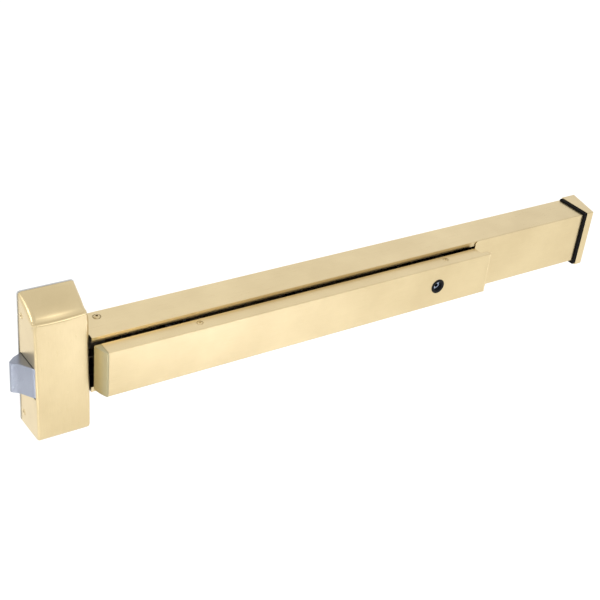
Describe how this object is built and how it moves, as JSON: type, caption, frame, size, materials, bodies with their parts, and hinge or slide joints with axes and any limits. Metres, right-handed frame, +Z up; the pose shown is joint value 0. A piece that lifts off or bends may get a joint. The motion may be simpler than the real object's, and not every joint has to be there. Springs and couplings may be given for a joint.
{
  "type": "panic exit bar",
  "caption": "Rim panic exit bar: a latch head with a swinging latch bolt, a long rail with a push pad and a dogging lock, a filler plate and a wedge-shaped hinge end cap.",
  "frame": {"origin": "middle of the latch head's base plate on the door face, at the height of the bar's centre line", "axes": "+X along the bar from the latch head to the hinge end, +Y into the door, so the device stands out towards -Y, +Z up"},
  "size_m": [0.9336, 0.0787, 0.187],
  "materials": {
    "satin_brass": "satin, brushed lengthways",
    "brass_screws": "satin",
    "latch_steel": "satin",
    "dog_steel": "satin",
    "black_collar": "satin black",
    "black_rubber": "matte",
    "nylon": "matte",
    "spring_steel": "bright",
    "zinc_steel": "zinc plated"
  },
  "bodies": {
    "frame": {"head_base_plate": "zinc_steel", "head_cover": "satin_brass", "cover_screws": "brass_screws", "latch_bracket": "zinc_steel", "latch_pivot_pin": "zinc_steel", "latch_spring": "spring_steel", "rail_case": "satin_brass", "rail_bracket": "zinc_steel", "rail_screws": "brass_screws", "filler_plate": "satin_brass", "end_bracket": "zinc_steel", "end_gasket": "black_rubber", "end_cap": "satin_brass", "end_cap_screws": "brass_screws", "crank_bracket_1": "zinc_steel", "crank_bracket_2": "zinc_steel", "crank_pivot_1": "zinc_steel", "crank_pivot_2": "zinc_steel", "linkage_screws": "zinc_steel", "drawbar_guide_1": "nylon", "drawbar_guide_2": "nylon", "return_spring_1": "spring_steel", "return_spring_2": "spring_steel", "dog_keeper": "zinc_steel"},
    "pad": {"push_pad": "satin_brass", "pad_cap_head_end": "satin_brass", "pad_cap_hinge_end": "satin_brass", "pad_bracket_1": "zinc_steel", "pad_bracket_2": "zinc_steel", "pad_pin_1": "zinc_steel", "pad_pin_2": "zinc_steel", "pad_bumpers_1": "black_rubber", "pad_bumpers_2": "black_rubber", "pad_screws": "brass_screws", "dog_bush": "black_collar"},
    "drawbar": {"drawbar": "zinc_steel"},
    "crank_1": {"bell_crank_1": "zinc_steel", "drawbar_pin_1": "zinc_steel"},
    "crank_2": {"bell_crank_2": "zinc_steel", "drawbar_pin_2": "zinc_steel"},
    "latch": {"latch_bolt": "latch_steel", "latch_link_pin": "zinc_steel"},
    "dog": {"dog_shaft": "dog_steel", "dog_cam": "zinc_steel"}
  },
  "joints": [
    {"name": "pad_slide", "type": "slide", "parent": "frame", "child": "pad", "axis": [0, 1, 0], "range_m": [0, 0.016], "stiffness_N_per_m": 1800, "springref_m": -0.006, "deforming": ["return_spring_1", "return_spring_2"]},
    {"name": "drawbar_slide", "type": "slide", "parent": "frame", "child": "drawbar", "axis": [1, 0, 0], "range_m": [0, 0.0182]},
    {"name": "crank_1_turn", "type": "hinge", "parent": "frame", "child": "crank_1", "pos_m": [0.1585, -0.015, 0], "axis": [0, 0, 1], "range_deg": [0, 54.61]},
    {"name": "crank_2_turn", "type": "hinge", "parent": "frame", "child": "crank_2", "pos_m": [0.5515, -0.015, 0], "axis": [0, 0, 1], "range_deg": [0, 54.61]},
    {"name": "latch_turn", "type": "hinge", "parent": "frame", "child": "latch", "pos_m": [-0.022, -0.01, -0.0103], "axis": [0, 0, 1], "range_deg": [0, 55]},
    {"name": "dog_turn", "type": "hinge", "parent": "pad", "child": "dog", "pos_m": [0.548, -0.07, 0], "axis": [0, -1, 0], "range_deg": [0, 90]}
  ],
  "couplings": [
    {"joint": "drawbar_slide", "follows": "pad_slide", "ratio": 1.1375},
    {"joint": "crank_1_turn", "follows": "pad_slide", "rad_per_m": 59.558},
    {"joint": "crank_2_turn", "follows": "pad_slide", "rad_per_m": 59.558},
    {"joint": "latch_turn", "follows": "pad_slide", "rad_per_m": 59.996}
  ]
}
